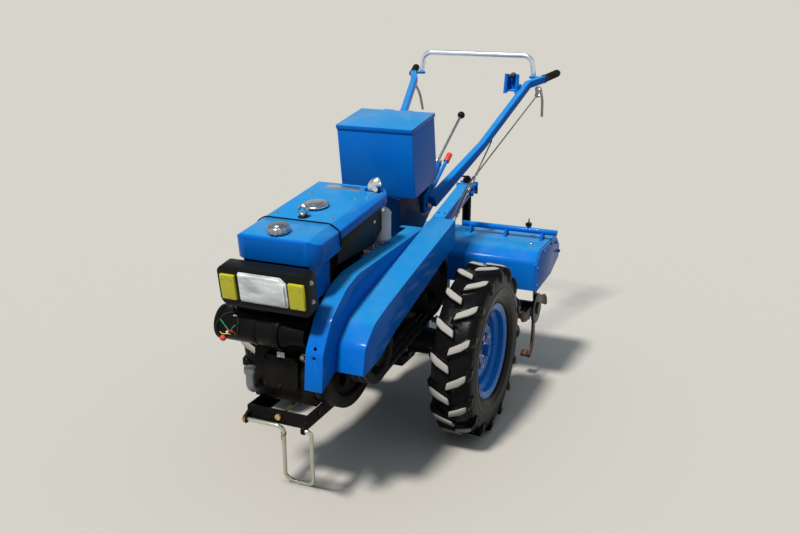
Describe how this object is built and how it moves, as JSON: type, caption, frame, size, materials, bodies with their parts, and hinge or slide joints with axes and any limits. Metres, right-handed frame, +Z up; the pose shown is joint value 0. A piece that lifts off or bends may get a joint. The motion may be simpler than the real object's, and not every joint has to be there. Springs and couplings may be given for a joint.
{
  "type": "walking tractor",
  "caption": "Two-wheeled walking tractor with a belt-driven engine, long handlebars, tool box and a rotary tiller behind.",
  "frame": {"origin": "middle of the floor that the machine covers, on the ground", "axes": "+X forward, +Y to the machine's left, +Z up"},
  "size_m": [1.9466, 1.016, 1.2855],
  "materials": {
    "tyre": "matte black rubber with pale dust on the lugs",
    "blue_paint": "glossy",
    "black_paint": "semi-gloss",
    "black_iron": "painted black",
    "blue_iron": "painted blue",
    "steel": "machined",
    "chrome": "bright",
    "zinc": "yellow zinc plate",
    "grey_paint": "matte",
    "plastic_black": "matte",
    "lens": "moulded, clear white",
    "amber": "moulded, yellow",
    "rubber": "matte",
    "red_plastic": "satin"
  },
  "bodies": {
    "chassis": {"axle_left": "blue_iron", "axle_right": "blue_iron", "frame": "black_paint", "draw_bolt": "zinc", "gearbox": "blue_iron", "engine": "black_iron", "oil_filler": "black_paint", "starter": "black_paint", "engine_pulley": "black_iron", "clutch_pulley": "black_iron", "belts": "rubber", "flywheel": "black_iron", "flywheel_guard": "blue_paint", "belt_guard": "blue_paint", "fuel_tank": "blue_paint", "radiator_shell": "blue_paint", "radiator_core": "black_paint", "fuel_cap": "chrome", "radiator_cap": "chrome", "lifting_eye": "steel", "muffler": "grey_paint", "exhaust_tip": "chrome", "lamp_housing": "plastic_black", "lamp_lens": "lens", "indicators": "amber", "tool_box": "blue_paint", "handle_post": "blue_paint", "handlebar_left": "blue_paint", "handlebar_right": "blue_paint", "grips": "rubber", "hoop": "chrome", "hoop_clamps": "blue_paint", "clutch_lever": "blue_paint", "clutch_knob": "plastic_black", "squeeze_levers": "plastic_black", "control_rods": "steel", "gear_lever": "blue_paint", "gear_stick": "steel", "gear_knob": "plastic_black", "side_lever": "blue_paint", "side_grip": "red_plastic", "tiller_case": "blue_iron", "tiller_hood": "blue_paint", "tiller_end_plates": "blue_paint", "tiller_beam": "blue_paint", "tail_arm": "blue_paint", "tail_post": "black_paint", "tail_fork": "blue_paint"},
    "wheel_left": {"tyre_left": "tyre", "rim_left": "blue_paint", "hub_left": "steel"},
    "wheel_right": {"tyre_right": "tyre", "rim_right": "blue_paint", "hub_right": "steel"},
    "stand": {"stand": "zinc"},
    "box_lid": {"box_lid": "blue_paint"},
    "rotor": {"rotor": "black_paint"},
    "tail_wheel": {"tail_wheel": "grey_paint"}
  },
  "joints": [
    {"name": "wheel_left_spin", "type": "hinge", "parent": "chassis", "child": "wheel_left", "pos_m": [0.14054, 0.37, 0.313], "axis": [0, 1, 0], "continuous": true},
    {"name": "wheel_right_spin", "type": "hinge", "parent": "chassis", "child": "wheel_right", "pos_m": [0.14054, -0.37, 0.313], "axis": [0, 1, 0], "continuous": true},
    {"name": "rotor_spin", "type": "hinge", "parent": "chassis", "child": "rotor", "pos_m": [-0.41146, 0, 0.296], "axis": [0, 1, 0], "continuous": true},
    {"name": "tail_wheel_spin", "type": "hinge", "parent": "chassis", "child": "tail_wheel", "pos_m": [-0.80746, 0, 0.12], "axis": [0, 1, 0], "continuous": true},
    {"name": "stand_fold", "type": "hinge", "parent": "chassis", "child": "stand", "pos_m": [0.92554, 0, 0.3], "axis": [0, -1, 0], "range_deg": [0, 95]},
    {"name": "box_lid_open", "type": "hinge", "parent": "chassis", "child": "box_lid", "pos_m": [0.01048, 0, 1.11993], "axis": [0, -1, 0], "range_deg": [0, 100]}
  ]
}
